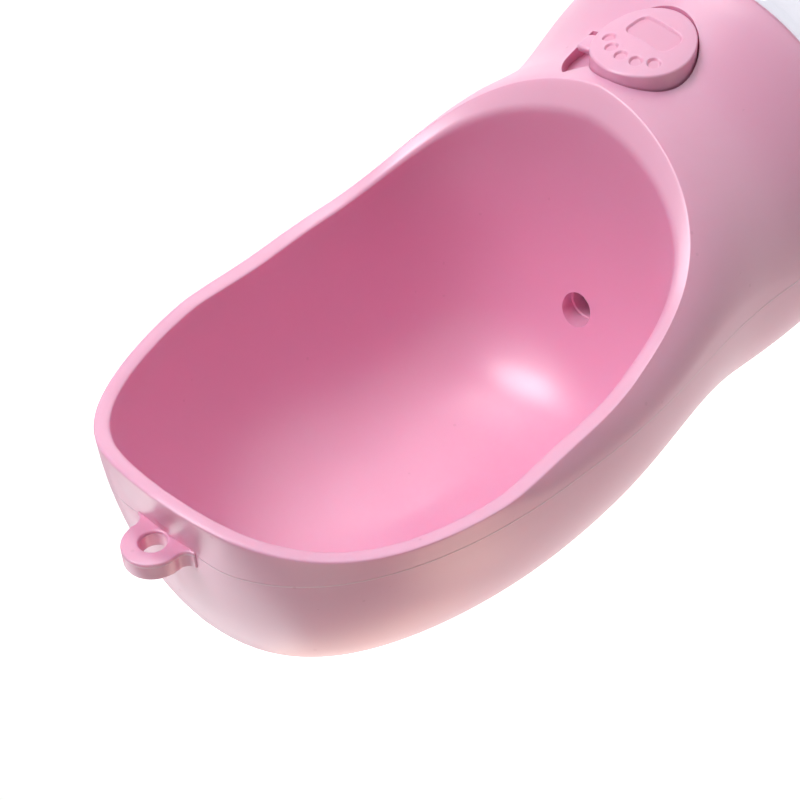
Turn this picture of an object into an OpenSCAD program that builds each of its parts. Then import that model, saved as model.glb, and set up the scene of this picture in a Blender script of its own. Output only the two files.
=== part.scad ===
// Travel water bottle for a dog: a clear bottle with a screw-on head that is a
// drinking scoop, and a push-button valve that lets the water into the scoop.
// Millimetres, +Z up, origin at the centre of the bottle's base.
// The button and the scoop's mouth face -Y.

/* [Bottle] */
// Outer diameter of the bottle
bottle_d = 70; // [66:1:78]
// Height from the base to the shoulder that the head screws down to
shoulder_h = 104; // [90:1:160]
// Wall of the clear bottle
bottle_wall = 2; // [1.4:0.1:3]
// Radius of the rounded edge at the base
base_round = 7; // [3:0.5:10]
// Outer diameter of the bottle's neck
neck_d = 49; // [46:0.5:49]
// Height of the neck over the shoulder
neck_h = 6; // [5:0.25:6.25]
// Diameter of the bottle's mouth
mouth_d = 43; // [40:0.5:44]

/* [Head] */
// Length of the head from its skirt to the scoop's tip
head_len = 127.5; // [122:0.5:140]
// Half-width at the waist beside the button
waist_w = 34.2; // [32:0.1:35]
// Half-width at the widest place of the scoop
scoop_w = 38.2; // [35:0.1:42]
// Distance of the back of the scoop from the bottle's axis
scoop_back = 38; // [34:0.5:42]
// Distance of the back from the bottle's axis, at the waist
back_waist = 33.4; // [32:0.1:35]
// Distance of the front face from the bottle's axis, beside the button
front_y = 27.2; // [27:0.1:30]
// Height of the lip over the skirt
lip_h = 28; // [27.5:0.1:31]
// Distance of the scoop's tip from the bottle's axis, toward the front
tip_y = 10; // [5:0.5:14]
// Distance of the rim's sides from the bottle's axis, toward the front
rim_dip = 3.2; // [1:0.1:6]
// Wall between the scoop and the outside
wall = 3; // [2.4:0.1:4]
// Width of the rim along the sides
rim_w = 3.4; // [2.8:0.1:4.5]
// Depth of the slanted band at the lip
lip_drop = 7; // [4:0.1:8]

/* [Eyelet] */
// Diameter of the eyelet's hole
eyelet_hole_d = 4.2; // [3:0.1:6]
// Diameter of the eyelet's rounded end
eyelet_d = 9.6; // [8.6:0.1:12]
// Thickness of the eyelet
eyelet_t = 3.2; // [2.4:0.1:5]

/* [Button] */
// Diameter of the button
button_d = 17.6; // [15:0.1:18]
// Height of the button's centre over the skirt
button_h = 17.1; // [17:0.1:18]
// Distance of the button's face from the bottle's axis
button_face = 29.6; // [29:0.1:31]
// Travel of the button when it is pressed
button_travel = 3; // [2:0.1:3]
// Turn of the button between locked and free
lock_turn = 25; // [10:1:30]
// Angle of the button's lug over the horizontal
lug_angle = 6; // [4:1:14]

/* [Valve] */
// Outer diameter of the valve's barrel
barrel_d = 13.2; // [12.6:0.1:13.4]
// Diameter of the barrel's bore
bore_d = 9.2; // [9:0.1:9.6]
// Diameter of the plunger's stem
stem_d = 5; // [4.4:0.1:5.4]
// Diameter of the hole where the water enters the scoop
outlet_d = 6.2; // [5.6:0.1:7]
// Distance of the outlet behind the bottle's axis
outlet_y = 16.2; // [15.6:0.1:16.3]
// Wire diameter of the return spring
wire_d = 0.7; // [0.5:0.05:0.8]
// Turns of the return spring
spring_turns = 5; // [4:1:6]

/* [Fits] */
// Radial clearance of a shaft that slides or turns in its bore
running_fit = 0.05; // [0.03:0.01:0.08]
// Gap round a moving part that is not a bearing
free_gap = 0.3; // [0.25:0.05:0.4]

/* [Hidden] */
e = 0.01;
$fn = 96;
bottle_r = bottle_d / 2;
head_z = shoulder_h + 1;
neck_r = neck_d / 2;
mouth_r = mouth_d / 2;
seal_t = 1.5;
plate_t = 2;
neck_top = neck_h - 1;
plate_z = neck_top + seal_t;
collar_r = neck_r + 0.7;
chamber_r = collar_r - 1;
roof_z = lip_h + 0.9;
valve_z = button_h;
barrel_r = barrel_d / 2;
bore_r = bore_d / 2;
stem_r = stem_d / 2;
button_r = button_d / 2;
plate_seal_t = 1.2;

// Stations along the valve's axis, from the button at the front to the plug
barrel_front = -17;
front_wall = 4.2;
stem_seal_t = 2.2;
retainer_t = 1;
seat_y = 5;
seat_t = 2;
barrel_back = 20.8;
plug_flange_t = 1.6;
disc_y = seat_y + seat_t + 0.8;
disc_t = 1.4;
disc_r = 4.2;
spring_r = 3.2;
spring_seat_t = 0.8;
plug_face = 18.4;
spring_y0 = disc_y + disc_t;
spring_y1 = plug_face - spring_seat_t;
cap_wall = 1.5;
cap_back = -22.5;
cap_face_t = 2.8;
nose_y = -button_face + cap_face_t;
clip_t = 0.8;
hub_r = 4.2;
lug_r = 12.4;
lug_t = 1.8;
lug_half_w = 2.2;
lug_y = -27.2;
skirt_back = lug_y + lug_t;
pocket_y = skirt_back + button_travel + free_gap;
face_tilt = 5;

// Front flat of the valve's plate, and the width that its seal takes
plate_front = pocket_y + 1.3;
seal_w = 1.8;

// Water ways: up from the bottle through a screen, and out to the scoop
inlet_y = -2;
inlet_r = 2.2;
screen_r = 4.6;
screen_t = 0.4;
screen_ring_t = 0.6;
way_r = 2;
outlet_seal_r = 4.6;
tube_r = outlet_d / 2 - 0.15;

// Screws that hold the valve to the head
screw_x = 15.5;
screw_y = 9;
screw_r = 1.3;
boss_r = 3.1;
screw_len = 14;
screw_head_r = 2.5;
screw_head_h = 1.5;

// Rings and rays of the head's skin
rays = 64;
outer_rings = 20;
inner_rings = 9;
seam_front = 0.33;
tip_part = 0.08;
seam_y = 1.8;
widest = 0.575;
deepest = 0.57;

// Exponents of the rounded ends and of the sections
wide_p = 2.86;
wide_q = 2.39;
end_p = 4.4;
end_q = 2.5;
front_n = 1.72;
back_n = 2.18;

PINK = [0.93, 0.66, 0.78];
CLEAR = [0.88, 0.92, 0.95, 0.35];
WHITE = [0.93, 0.93, 0.92];
SILICONE = [0.80, 0.82, 0.84];
STEEL = [0.72, 0.73, 0.75];

// ---------- small helpers ----------

function mix(a, b, k) = a + (b - a) * k;
function ease(k) = (1 - cos(180 * min(max(k, 0), 1))) / 2;

// Height over the bottle's base, from a height over the head's skirt
module on_head() {
    translate([0, 0, head_z]) children();
}

// Along the valve's axis: the children's +Z runs toward the back, +Y
module along_valve(y) {
    translate([0, y, head_z + valve_z]) rotate([-90, 0, 0]) children();
}

module ring(outer, inner, t) {
    difference() {
        cylinder(r = outer, h = t);
        translate([0, 0, -1]) cylinder(r = inner, h = t + 2);
    }
}

// ---------- the head's skin ----------

// Falls from 1 to 0 along a rounded corner while k rises from 0 to 1
function round_end(k, p, q) = pow(max(0, 1 - pow(min(max(k, 0), 1), p)), 1 / q);

// Half-width, back and front of the closed form at the height z over the skirt
tip_z = head_len;
brow_z = head_len - 1.8;
waist_z = 0.2 * head_len;
wide_z = widest * head_len;

function side_w(z) =
    z < waist_z ? mix(bottle_r, waist_w, ease(z / waist_z)) :
    z < wide_z ? mix(waist_w, scoop_w, ease(pow((z - waist_z) / (wide_z - waist_z), 0.85))) :
    scoop_w * round_end((z - wide_z) / (tip_z - wide_z), wide_p, wide_q);

low_back_z = 0.14 * head_len;
back_z = deepest * head_len;
function back_of(z) =
    z < low_back_z ? mix(bottle_r, back_waist, ease(z / low_back_z)) :
    z < back_z ? mix(back_waist, scoop_back, ease((z - low_back_z) / (back_z - low_back_z))) :
    z < brow_z ? mix(seam_y, scoop_back, round_end((z - back_z) / (brow_z - back_z), end_p, end_q)) :
    mix(seam_y, -tip_y, (z - brow_z) / (tip_z - brow_z));

flat_z = 0.175 * head_len;
dip_z = 0.47 * head_len;
dip_y = 0.62 * front_y;
function front_of(z) =
    z < flat_z ? mix(-bottle_r, -front_y, pow(ease(z / flat_z), 0.8)) :
    z < lip_h ? -front_y :
    z < dip_z ? mix(-front_y, -dip_y, ease(pow((z - lip_h) / (dip_z - lip_h), 0.9))) :
    mix(-dip_y, -tip_y, 1 - sqrt(max(0, 1 - pow((z - dip_z) / (tip_z - dip_z), 2))));

// The widest line of the section at the height z, which moves forward at the tip
function centre_of(z) =
    let (part = mix(0.5, seam_front, ease(z / (0.45 * head_len))), k = ease((z - wide_z) / (tip_z - wide_z)))
    mix(front_of(z), back_of(z), mix(part, tip_part, k));

// Whether a point is inside the closed form, whose sections are superellipses
function within(p) =
    let (z = p[2], c = centre_of(z), front = p[1] < c, k = ease(z / (0.15 * head_len)),
         half = front ? c - front_of(z) : back_of(z) - c, n = mix(2, front ? front_n : back_n, k))
    z <= tip_z && pow(abs(p[0]) / max(side_w(z), e), n) + pow(abs(p[1] - c) / max(half, e), n) < 1;

// The rim's side view: distance along Y at s, which is 0 at the lip and 1 at the tip
rim_rise = front_y - rim_dip;
function rim_y(s) =
    -front_y + rim_rise * (1 - exp(-max(s, 0) / 0.13)) + (rim_dip - tip_y) * pow(abs(s), 10);
function rim_sag(s) = rim_y(s) - mix(-front_y, -tip_y, s);

// Rings of the skin: sheet 0 is the skirt's edge and the last sheet is the rim.
// Each sheet runs from a place on the front up to a place on the back.
function front_place(k) = [front_of(lip_h * k), lip_h * k];
function back_place(k) =
    let (turn = 90 * pow(max(k - 0.4, 0) / 0.5, 1.6), up = min(k / 0.4, 1))
    k < 0.4 ? [back_of(back_z * up), back_z * up] :
    k < 0.9 ? [mix(seam_y, scoop_back, pow(cos(turn), 2 / end_q)),
               mix(back_z, brow_z, pow(sin(turn), 2 / end_p))] :
    [mix(seam_y, -tip_y, (k - 0.9) / 0.1), mix(brow_z, tip_z, (k - 0.9) / 0.1)];
function sheet(k, a, r) =
    let (f = front_place(k), b = back_place(k), s = (1 + r * sin(a)) / 2)
    [r * cos(a) * bottle_r, mix(f[0], b[0], s) + k * k * rim_sag(s), mix(f[1], b[1], s)];
function reach(k, a, low, high, steps) =
    let (r = (low + high) / 2)
    steps == 0 ? low :
    within(sheet(k, a, r)) ? reach(k, a, r, high, steps - 1) : reach(k, a, low, r, steps - 1);
function outer_point(k, a) =
    abs(cos(a)) < e ? sheet(k, a, 1) : sheet(k, a, reach(k, a, 0.3, min(1.5, 1 / abs(sin(a) + e)), 16));
function ray_angle(i) = -90 + 360 * i / rays;

// Rim: a step in toward the middle of the mouth, and a step along Y
mouth_z = 0.6 * head_len;
function from_lip(p) = (p[2] - lip_h) / (tip_z - lip_h);
function near_lip(p) = exp(-from_lip(p) / 0.1);
function rim_in(p, dist, dy) =
    let (dx = p[0], dz = p[2] - mouth_z, r = sqrt(dx * dx + dz * dz))
    [p[0] - dist * dx / r, p[1] + dy, p[2] - dist * dz / r];
function inner_edge(p) = rim_in(p, rim_w, mix(0.4, lip_drop, near_lip(p)));

// Bowl: from the rim's inner edge p down to the floor, steep by the lip
floor_y = scoop_back - wall;
function corner(p) = 2.25 + 5.5 * exp(-from_lip(p) / 0.15) + 0.9 * exp((from_lip(p) - 1) / 0.15);
function deepest_at(x, z) =
    let (c = centre_of(z), across = min(abs(x) / max(side_w(z) - wall, e), 1))
    c + (back_of(z) - wall - c) * pow(1 - pow(across, back_n), 1 / back_n);
function bowl_point(edge, s) =
    let (p = inner_edge(edge), n = corner(edge), out = pow(cos(s), 2 / n), deep = pow(sin(s), 2 / n),
         x = p[0] * out, z = mix(mouth_z, p[2], out))
    [x, min(mix(p[1], floor_y, deep), max(p[1] + e, deepest_at(x, z))), z];

module head_skin() {
    rim = [for (i = [0 : rays - 1]) outer_point(1, ray_angle(i))];
    outer = [for (k = [0 : outer_rings - 1]) for (i = [0 : rays - 1])
        outer_point(k / outer_rings, ray_angle(i))];
    crest = [for (p = rim) rim_in(p, 0.9, -0.25)];
    bowl = [for (k = [0 : inner_rings - 1]) for (p = rim) bowl_point(p, 90 * k / inner_rings)];
    pole = [[0, floor_y, mouth_z]];
    points = concat(outer, rim, crest, bowl, pole);
    rings = outer_rings + 1 + 1 + inner_rings;
    last = (rings - 1) * rays;
    base = [[for (i = [0 : rays - 1]) i]];
    sides = [for (k = [0 : rings - 2]) for (i = [0 : rays - 1]) for (half = [0, 1])
        let (j = (i + 1) % rays, p = k * rays, q = p + rays)
        half == 0 ? [p + i, q + i, q + j] : [p + i, q + j, p + j]];
    cap = [for (i = [0 : rays - 1]) [last + i, rings * rays, last + (i + 1) % rays]];
    polyhedron(points = points, faces = concat(base, sides, cap), convexity = 8);
}

// ---------- head ----------

eyelet_z = head_len + 0.6;
eyelet_y = seam_y + 1;
eyelet_root = 3.2;

module eyelet_blank() {
    translate([0, eyelet_y, 0]) rotate([-90, 0, 0]) translate([0, 0, -eyelet_t / 2])
        linear_extrude(eyelet_t) {
            translate([0, -eyelet_z]) circle(d = eyelet_d);
            polygon([[-eyelet_d / 2 - 2, -eyelet_z + eyelet_root], [-eyelet_d / 2, -eyelet_z],
                     [eyelet_d / 2, -eyelet_z], [eyelet_d / 2 + 2, -eyelet_z + eyelet_root]]);
        }
}

module head_shell() {
    color(PINK) on_head() difference() {
        union() {
            head_skin();
            eyelet_blank();
        }
        // room for the neck, the plate and the valve
        translate([0, 0, -1]) cylinder(r = collar_r, h = 1 + plate_z);
        plate_form(collar_r, plate_front, plate_z + plate_t + plate_seal_t);
        difference() {
            plate_form(chamber_r, plate_front + seal_w, roof_z);
            for (x = [-screw_x, screw_x]) for (y = [-screw_y, screw_y])
                translate([x, y, plate_z + plate_t]) cylinder(r = boss_r, h = roof_z);
        }
        // groove that thins the skirt
        translate([0, 0, -1]) ring(bottle_r - 3.2, collar_r + 2.6, 5.5);
        // pilot holes of the screws
        for (x = [-screw_x, screw_x]) for (y = [-screw_y, screw_y])
            translate([x, y, 0]) cylinder(r = screw_r, h = plate_z + plate_t + screw_len + 1, $fn = 32);
        // button hole, and the recess that the lug turns in
        translate([0, -bottle_r - 5, valve_z]) rotate([-90, 0, 0])
            cylinder(r = button_r + free_gap, h = bottle_r + 5 + pocket_y);
        translate([0, pocket_y - 1, valve_z]) rotate([-90, 0, 0])
            cylinder(r = hub_r + free_gap, h = plate_front + seal_w - pocket_y + 2);
        lug_recess();
        // outlet and eyelet
        translate([0, outlet_y, roof_z - 1]) cylinder(d = outlet_d, h = 30, $fn = 48);
        translate([0, eyelet_y - eyelet_t, eyelet_z]) rotate([-90, 0, 0])
            cylinder(d = eyelet_hole_d, h = 2 * eyelet_t, $fn = 48);
    }
}

// A disc with a flat at the front, where the button's pocket is
module plate_form(r, flat_y, h) {
    linear_extrude(h) intersection() {
        circle(r = r);
        translate([-bottle_r, flat_y]) square(bottle_d);
    }
}

module lug_recess() {
    margin = 18;
    low = lug_angle - margin;
    high = lug_angle + lock_turn + margin;
    reach = 2 * lug_r;
    translate([0, -bottle_r, valve_z]) rotate([90, 0, 0]) mirror([0, 0, 1]) intersection() {
        difference() {
            cylinder(r = lug_r + 1, h = bottle_r + pocket_y);
            translate([0, 0, -1]) cylinder(r = button_r - 1, h = bottle_r);
        }
        linear_extrude(bottle_r)
            polygon([[0, 0], [reach * cos(low), reach * sin(low)],
                     [reach * cos((low + high) / 2), reach * sin((low + high) / 2)],
                     [reach * cos(high), reach * sin(high)]]);
    }
}

// ---------- bottle ----------

module bottle() {
    shoulder = 3;
    color(CLEAR) difference() {
        rotate_extrude($fn = 120) difference() {
            union() {
                translate([0, base_round]) square([bottle_r, shoulder_h - base_round]);
                square([bottle_r - base_round, shoulder_h]);
                translate([bottle_r - base_round, base_round]) circle(r = base_round, $fn = 64);
                translate([0, shoulder_h - e]) square([neck_r, neck_h + e]);
            }
            translate([0, bottle_wall]) square([bottle_r - bottle_wall - base_round, 20]);
            translate([0, base_round]) square([bottle_r - bottle_wall, shoulder_h - shoulder - base_round]);
            translate([bottle_r - base_round, base_round]) circle(r = base_round - bottle_wall, $fn = 64);
            translate([0, shoulder_h - 2 * shoulder]) square([mouth_r, 40]);
            translate([-bottle_d, -1]) square([bottle_d, 2 * shoulder_h]);
        }
    }
}

module neck_gasket() {
    color(SILICONE) on_head() translate([0, 0, neck_top]) ring(neck_r - 0.2, mouth_r + 0.2, seal_t);
}

// ---------- valve ----------

module valve_body() {
    nozzle_r = 4.2;
    nozzle_drop = 0.2;
    shoulder_z = roof_z - plate_seal_t;
    color(WHITE) difference() {
        union() {
            on_head() translate([0, 0, plate_z]) plate_form(collar_r - 0.1, plate_front + 0.1, plate_t);
            along_valve(barrel_front) cylinder(r = barrel_r, h = barrel_back - barrel_front);
            on_head() translate([-3, barrel_front + 1, plate_z + plate_t - e])
                cube([6, barrel_back - barrel_front - 2, valve_z - plate_z - plate_t - barrel_r + 1.5]);
            on_head() translate([0, outlet_y, valve_z]) cylinder(r = nozzle_r, h = shoulder_z - valve_z);
            on_head() translate([0, outlet_y, valve_z])
                cylinder(r = tube_r, h = roof_z - nozzle_drop - valve_z, $fn = 48);
        }
        // guide for the stem, front chamber, seat and rear chamber
        along_valve(barrel_front - 1) cylinder(r = stem_r + running_fit, h = front_wall + 2);
        along_valve(barrel_front + front_wall) cylinder(r = bore_r, h = seat_y - barrel_front - front_wall);
        along_valve(0) cylinder(r = bore_r - 1.4, h = seat_y + seat_t + 1);
        along_valve(seat_y + seat_t) cylinder(r = bore_r, h = barrel_back);
        // water way in from the bottle and out to the scoop
        on_head() translate([0, inlet_y, plate_z - 1]) cylinder(r = inlet_r, h = valve_z - plate_z + 1, $fn = 48);
        on_head() translate([0, inlet_y, plate_z - 1])
            cylinder(r = screen_r, h = 1 + screen_ring_t + screen_t, $fn = 48);
        on_head() translate([0, outlet_y, valve_z]) cylinder(r = way_r, h = roof_z, $fn = 48);
        for (x = [-screw_x, screw_x]) for (y = [-screw_y, screw_y])
            on_head() translate([x, y, plate_z - 1]) cylinder(r = screw_r + 0.2, h = plate_t + 2, $fn = 32);
    }
}

module valve_screws() {
    color(STEEL) on_head() for (x = [-screw_x, screw_x]) for (y = [-screw_y, screw_y])
        translate([x, y, plate_z]) difference() {
            union() {
                translate([0, 0, -screw_head_h]) cylinder(r = screw_head_r, h = screw_head_h, $fn = 40);
                translate([0, 0, -0.5]) cylinder(r = screw_r, h = screw_len, $fn = 32);
            }
            // cross slot
            for (a = [0, 90]) rotate(a) translate([-1.8, -0.3, -screw_head_h - 0.5]) cube([3.6, 0.6, 1.3]);
        }
}

module plate_seal() {
    color(SILICONE) on_head() translate([0, 0, plate_z + plate_t]) difference() {
        plate_form(collar_r, plate_front, plate_seal_t);
        translate([0, 0, -1]) plate_form(collar_r - seal_w, plate_front + seal_w, plate_seal_t + 2);
    }
}

module inlet_screen() {
    mesh_hole_r = 0.6;
    color(STEEL) on_head() translate([0, inlet_y, plate_z + screen_ring_t]) difference() {
        cylinder(r = screen_r, h = screen_t, $fn = 48);
        for (a = [0 : 60 : 300]) rotate(a) translate([inlet_r * 0.7, 0, -1])
            cylinder(r = mesh_hole_r, h = 3, $fn = 24);
        translate([0, 0, -1]) cylinder(r = mesh_hole_r, h = 3, $fn = 24);
    }
}

module screen_ring() {
    color(WHITE) on_head() translate([0, inlet_y, plate_z]) ring(screen_r, screen_r - 1.2, screen_ring_t);
}

module outlet_seal() {
    color(SILICONE) on_head() translate([0, outlet_y, roof_z - plate_seal_t])
        ring(outlet_seal_r, tube_r, plate_seal_t);
}

module barrel_plug() {
    color(WHITE) difference() {
        union() {
            along_valve(plug_face) cylinder(r = bore_r, h = barrel_back - plug_face + e);
            along_valve(barrel_back) cylinder(r = barrel_r, h = plug_flange_t);
        }
        along_valve(barrel_back + 0.6) translate([-3.5, -0.6, 0]) cube([7, 1.2, 3]);
        along_valve(plug_face + 0.6) ring(bore_r + 1, bore_r - 0.9, 1.2);
    }
}

module plug_seal() {
    color(SILICONE) along_valve(plug_face + 0.6) ring(bore_r, bore_r - 0.9, 1.2);
}

module plunger() {
    boss_y = seat_y + 1.4;
    tail_y = spring_y0 + 3;
    color(WHITE) difference() {
        union() {
            along_valve(nose_y) cylinder(r = stem_r, h = -3 - nose_y);
            along_valve(-4) cylinder(r = 1.6, h = disc_y + 4 + e);
            along_valve(boss_y) cylinder(r = 2.6, h = disc_y - boss_y + e);
            along_valve(disc_y) cylinder(r = disc_r, h = disc_t);
            along_valve(disc_y) cylinder(r = 1.8, h = tail_y - disc_y);
        }
        along_valve(cap_back) ring(stem_r + 1, stem_r - 0.6, clip_t);
        along_valve(nose_y + 1.4) ring(stem_r + 1, stem_r - 0.7, 1);
    }
}

module stem_seal() {
    color(SILICONE) along_valve(barrel_front + front_wall) ring(bore_r, stem_r + running_fit, stem_seal_t);
}

module stem_seal_retainer() {
    color(WHITE) along_valve(barrel_front + front_wall + stem_seal_t) ring(bore_r, stem_r + 0.5, retainer_t);
}

module valve_seal() {
    color(SILICONE) along_valve(seat_y + seat_t) ring(disc_r, 2.6, disc_y - seat_y - seat_t);
}

// Spring: one unbroken tube along a helix whose ends lie flat on their seats
spring_sides = 6;
spring_steps = 8;
function coil_at(k) =
    let (r = wire_d / 2, len = spring_y1 - spring_y0 - wire_d, n = spring_turns * spring_steps)
    [spring_r * cos(360 * k / spring_steps), spring_r * sin(360 * k / spring_steps),
     r + len * k / n];

module return_spring() {
    n = spring_turns * spring_steps;
    r = wire_d / 2;
    points = [for (k = [0 : n]) for (i = [0 : spring_sides - 1])
        let (p = coil_at(k), a = 360 * k / spring_steps, b = 360 * i / spring_sides)
        [p[0] + r * cos(b) * cos(a), p[1] + r * cos(b) * sin(a), p[2] + r * sin(b)]];
    skin = [for (k = [0 : n - 1]) for (i = [0 : spring_sides - 1]) for (half = [0, 1])
        let (j = (i + 1) % spring_sides, p = k * spring_sides, q = p + spring_sides)
        half == 0 ? [p + i, q + i, q + j] : [p + i, q + j, p + j]];
    first = [for (i = [1 : spring_sides - 2]) [0, i, i + 1]];
    end = n * spring_sides;
    last = [for (i = [1 : spring_sides - 2]) [end, end + i + 1, end + i]];
    gap = (spring_y1 - spring_y0 - wire_d) / spring_turns - wire_d;
    echo(least_gap_of_spring = gap);
    color(STEEL) along_valve(spring_y0) polyhedron(points, concat(skin, first, last), convexity = 6);
}

module spring_seat() {
    color(STEEL) along_valve(spring_y1) ring(bore_r - 0.2, 1.9, spring_seat_t);
}

// ---------- button ----------

module button_cap() {
    pad_w = 9.6;
    pad_h = 5;
    pad_r = 1.6;
    pad_y = -2.4;
    toe_r = 1.05;
    toe_out = 7;
    paw_depth = 0.4;
    color(PINK) difference() {
        union() {
            intersection() {
                along_valve(-button_face - 2) cylinder(r = button_r, h = button_face + 2 + skirt_back);
                translate([0, -button_face, head_z + valve_z]) rotate([-face_tilt, 0, 0])
                    translate([-20, 0, -20]) cube([40, 40, 40]);
            }
            along_valve(nose_y) cylinder(r = hub_r, h = cap_back - nose_y);
            button_lug();
        }
        // hollow behind the face, round the hub
        along_valve(nose_y) difference() {
            cylinder(r = button_r - cap_wall, h = skirt_back - nose_y + 1);
            translate([0, 0, -1]) cylinder(r = hub_r, h = 20);
        }
        along_valve(nose_y) cylinder(r = stem_r + running_fit, h = 20);
        // paw: a pad and toes, pressed in
        translate([0, -button_face, head_z + valve_z]) rotate([90 - face_tilt, 0, 0])
            translate([0, 0, -paw_depth]) linear_extrude(3) {
                translate([-pad_w / 2 + pad_r, pad_y - pad_h / 2]) square([pad_w - 2 * pad_r, pad_h]);
                translate([-pad_w / 2, pad_y - pad_h / 2 + pad_r]) square([pad_w, pad_h - 2 * pad_r]);
                for (x = [-1, 1]) for (y = [-1, 1])
                    translate([x * (pad_w / 2 - pad_r), pad_y + y * (pad_h / 2 - pad_r)])
                        circle(r = pad_r, $fn = 24);
                for (a = [-56 : 28 : 56]) translate([0, pad_y]) rotate(a) translate([0, toe_out])
                    circle(r = toe_r, $fn = 24);
            }
    }
}

module button_lug() {
    translate([0, lug_y, head_z + valve_z]) rotate([0, -lug_angle, 0])
        translate([button_r - 1, 0, -lug_half_w]) cube([lug_r - button_r + 0.6, lug_t, 2 * lug_half_w]);
}

module button_clip() {
    color(STEEL) along_valve(cap_back) ring(hub_r - 0.4, stem_r - 0.6, clip_t);
}

module button_friction_ring() {
    color(SILICONE) along_valve(nose_y + 1.4) ring(stem_r, stem_r - 0.7, 1);
}

bottle();
neck_gasket();
head_shell();
valve_body();
valve_screws();
plate_seal();
inlet_screen();
screen_ring();
outlet_seal();
barrel_plug();
plug_seal();
plunger();
stem_seal();
stem_seal_retainer();
valve_seal();
return_spring();
spring_seat();
button_cap();
button_clip();
button_friction_ring();
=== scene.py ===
import math

import bmesh
import bpy
import numpy as np
from mathutils import Matrix


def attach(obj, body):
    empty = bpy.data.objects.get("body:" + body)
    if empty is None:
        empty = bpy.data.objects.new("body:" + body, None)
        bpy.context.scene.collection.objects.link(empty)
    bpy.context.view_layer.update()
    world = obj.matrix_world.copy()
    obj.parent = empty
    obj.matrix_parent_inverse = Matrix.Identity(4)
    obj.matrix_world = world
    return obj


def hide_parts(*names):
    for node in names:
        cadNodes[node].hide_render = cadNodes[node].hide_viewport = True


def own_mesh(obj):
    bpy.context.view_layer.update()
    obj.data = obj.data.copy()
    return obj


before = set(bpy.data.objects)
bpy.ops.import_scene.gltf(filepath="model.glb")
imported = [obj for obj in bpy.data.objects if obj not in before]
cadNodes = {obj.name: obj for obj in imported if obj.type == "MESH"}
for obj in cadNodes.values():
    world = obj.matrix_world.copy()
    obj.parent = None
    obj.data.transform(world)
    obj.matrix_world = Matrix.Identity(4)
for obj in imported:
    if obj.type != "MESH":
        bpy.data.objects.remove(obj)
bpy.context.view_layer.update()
mm = 0.001
headBase = 105.0   # the head's skirt stands this high over the bottle's base, mm
print("frame loaded")


# Small mesh helpers, all in millimetres.

def mix(a, b, k):
    return a + (b - a) * k


def ease(k):
    return (1 - np.cos(np.pi * np.clip(k, 0, 1))) / 2


def arc(cx, cy, r, fromDeg, toDeg, steps):
    angles = np.radians(np.linspace(fromDeg, toDeg, steps + 1))
    return [(cx + r * math.cos(a), cy + r * math.sin(a)) for a in angles]


def loft(rings, firstClosed=False, lastClosed=False):
    # rings is an array of rings x points x 3; returns the points and the faces of the skin
    count, n = rings.shape[0], rings.shape[1]
    points = rings.reshape(-1, 3)
    i = np.arange(n)
    j = (i + 1) % n
    faces = []
    for k in range(count - 1):
        a, b = k * n, (k + 1) * n
        faces += np.stack([a + i, a + j, b + j, b + i], 1).tolist()
    if firstClosed:
        faces.append(list(range(n))[::-1])
    if lastClosed:
        faces.append(list(range((count - 1) * n, count * n)))
    return points, faces


def newMesh(name, points, faces):
    mesh = bpy.data.meshes.new(name)
    mesh.from_pydata((np.asarray(points) * mm).tolist(), [], faces)
    mesh.update()
    return mesh


def newPiece(name, points, faces, material=None, turnOut=True):
    mesh = newMesh(name, points, faces)
    if turnOut:
        work = bmesh.new()
        work.from_mesh(mesh)
        bmesh.ops.remove_doubles(work, verts=work.verts, dist=1e-6)
        bmesh.ops.recalc_face_normals(work, faces=work.faces)
        work.to_mesh(mesh)
        work.free()
    piece = bpy.data.objects.new(name, mesh)
    bpy.context.scene.collection.objects.link(piece)
    if material:
        mesh.materials.append(material)
    return piece


def turned(name, profile, segments, material=None):
    # profile is a line of (radius, height) points round the Z axis, closed unless it starts on the axis
    angles = 2 * math.pi * np.arange(segments) / segments
    rings = np.array([[(r * math.cos(a), r * math.sin(a), z) for a in angles] for r, z in profile])
    if profile[0][0] > 0.001:
        rings = np.concatenate([rings, rings[:1]])
    points, faces = loft(rings)
    return newPiece(name, points, faces, material)


def prism(name, outline, z0, z1):
    ring = np.array([(x, y, 0.0) for x, y in outline])
    low, high = ring.copy(), ring.copy()
    low[:, 2], high[:, 2] = z0, z1
    points, faces = loft(np.array([low, high]), True, True)
    return newPiece(name, points, faces)


def circleLine(cx, cy, r, n=96):
    angles = 2 * math.pi * np.arange(n) / n
    return [(cx + r * math.cos(a), cy + r * math.sin(a)) for a in angles]


def place(piece, matrix):
    piece.data.transform(matrix)
    return piece


def alongY(x, y, z):
    # turns the piece's +Z toward +Y and moves it to x, y, z in millimetres
    return Matrix.Translation((x * mm, y * mm, z * mm)) @ Matrix.Rotation(-math.pi / 2, 4, "X")


def applied(piece):
    # the piece with its modifiers made part of its mesh
    evaluated = piece.evaluated_get(bpy.context.evaluated_depsgraph_get())
    mesh = bpy.data.meshes.new_from_object(evaluated)
    old = piece.data
    piece.modifiers.clear()
    piece.data = mesh
    bpy.data.meshes.remove(old)
    return piece


def combine(piece, tools, operation):
    for tool in tools:
        step = piece.modifiers.new("step", "BOOLEAN")
        step.operation = operation
        step.solver = "EXACT"
        step.object = tool
        bpy.context.view_layer.update()
        applied(piece)
        mesh = tool.data
        bpy.data.objects.remove(tool)
        bpy.data.meshes.remove(mesh)
    return piece


def smoothShade(piece, degrees):
    piece.data.shade_smooth()
    piece.data.set_sharp_from_angle(angle=math.radians(degrees))


# Shader helpers, and the groups that several materials use.

def addNode(tree, kind, **values):
    node = tree.nodes.new(kind)
    for key, value in values.items():
        setattr(node, key, value)
    return node


def fillIn(node, **values):
    for key, value in values.items():
        node.inputs[key].default_value = value
    return node


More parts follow.
